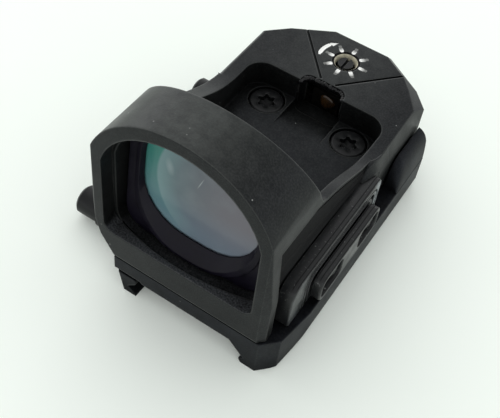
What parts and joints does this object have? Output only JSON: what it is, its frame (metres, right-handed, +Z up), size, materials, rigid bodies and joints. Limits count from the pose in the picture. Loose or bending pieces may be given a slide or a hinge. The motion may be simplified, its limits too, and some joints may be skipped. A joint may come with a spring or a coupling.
{
  "type": "red dot finder",
  "caption": "Open reflex dot finder: arched hood with a tilted coated lens, low deck, rear emitter block with a top dial, side keypad, and a rail clamp drawn up by cross bolts.",
  "frame": {"origin": "middle of the rail seat, on the ceiling of the rail channel, halfway along the mount", "axes": "+Z up away from the rail, +Y from the objective end to the eye end, +X to the keypad side"},
  "size_m": [0.0423, 0.055, 0.04],
  "materials": {
    "anodised_black": "matte black anodised",
    "mount_black": "satin black anodised",
    "blackened_steel": "black oxide",
    "lens_glass": "coated",
    "bezel_black": "dark purple black",
    "nitrile_rubber": "matte",
    "keypad_rubber": "matte",
    "cell_steel": "bright nickel",
    "spring_bronze": "bright",
    "board_green": "solder mask",
    "emitter_amber": "clear amber",
    "seal_beige": "matte",
    "brass": "machined"
  },
  "bodies": {
    "base": {"mount_base": "mount_black", "housing": "anodised_black", "objective_lens": "lens_glass", "lens_bezel": "bezel_black", "deck_screw_left": "blackened_steel", "deck_screw_right": "blackened_steel", "battery_seal": "nitrile_rubber", "battery": "cell_steel", "battery_contact_positive": "spring_bronze", "battery_contact_negative": "spring_bronze", "circuit_board": "board_green", "elevation_seal": "seal_beige", "windage_seal": "seal_beige", "windage_spring": "spring_bronze", "keypad_frame": "keypad_rubber", "keypad_bar": "keypad_rubber", "switch_board": "board_green", "switch_dome_up": "cell_steel", "switch_dome_down": "cell_steel"},
    "clamp": {"clamp_bar": "mount_black", "bolt_collar_front": "blackened_steel", "bolt_collar_rear": "blackened_steel"},
    "bolt_front": {"clamp_bolt_front": "blackened_steel"},
    "bolt_rear": {"clamp_bolt_rear": "blackened_steel"},
    "windage_adjuster": {"windage_screw": "blackened_steel"},
    "elevation_adjuster": {"elevation_screw": "blackened_steel"},
    "carriage": {"windage_carriage": "brass", "elevation_spring": "spring_bronze"},
    "emitter": {"emitter_block": "brass", "emitter_led": "emitter_amber"},
    "key_up": {"button_up": "keypad_rubber"},
    "key_down": {"button_down": "keypad_rubber"}
  },
  "joints": [
    {"name": "clamp_slide", "type": "slide", "parent": "base", "child": "clamp", "axis": [-1, 0, 0], "range_m": [0, 0.0025]},
    {"name": "bolt_front_turn", "type": "hinge", "parent": "clamp", "child": "bolt_front", "pos_m": [-0.0261, -0.0179, -0.00145], "axis": [-1, 0, 0], "range_deg": [0, 1800]},
    {"name": "bolt_rear_turn", "type": "hinge", "parent": "clamp", "child": "bolt_rear", "pos_m": [-0.0261, 0.0137, -0.00145], "axis": [-1, 0, 0], "range_deg": [0, 1800]},
    {"name": "windage_turn", "type": "hinge", "parent": "base", "child": "windage_adjuster", "pos_m": [-0.0165, 0.0168, 0.0075], "axis": [1, 0, 0], "range_deg": [-413.4, 413.4]},
    {"name": "windage_slide", "type": "slide", "parent": "base", "child": "carriage", "axis": [1, 0, 0], "range_m": [-0.0004, 0.0004]},
    {"name": "elevation_turn", "type": "hinge", "parent": "base", "child": "elevation_adjuster", "pos_m": [-0.002, 0.0218, 0.01315], "axis": [0, 0, 1], "range_deg": [-413.4, 413.4]},
    {"name": "elevation_slide", "type": "slide", "parent": "carriage", "child": "emitter", "axis": [0, 0, 1], "range_m": [-0.0004, 0.0004]},
    {"name": "button_up_press", "type": "slide", "parent": "base", "child": "key_up", "axis": [-1, 0, 0], "range_m": [0, 0.00035], "stiffness_N_per_m": 3000, "springref_m": -0.0001},
    {"name": "button_down_press", "type": "slide", "parent": "base", "child": "key_down", "axis": [-1, 0, 0], "range_m": [0, 0.00035], "stiffness_N_per_m": 3000, "springref_m": -0.0001}
  ],
  "couplings": [
    {"joint": "bolt_front_turn", "follows": "clamp_slide", "rad_per_m": 12566},
    {"joint": "bolt_rear_turn", "follows": "clamp_slide", "rad_per_m": 12566},
    {"joint": "windage_turn", "follows": "windage_slide", "rad_per_m": 17952},
    {"joint": "elevation_turn", "follows": "elevation_slide", "rad_per_m": 17952}
  ]
}
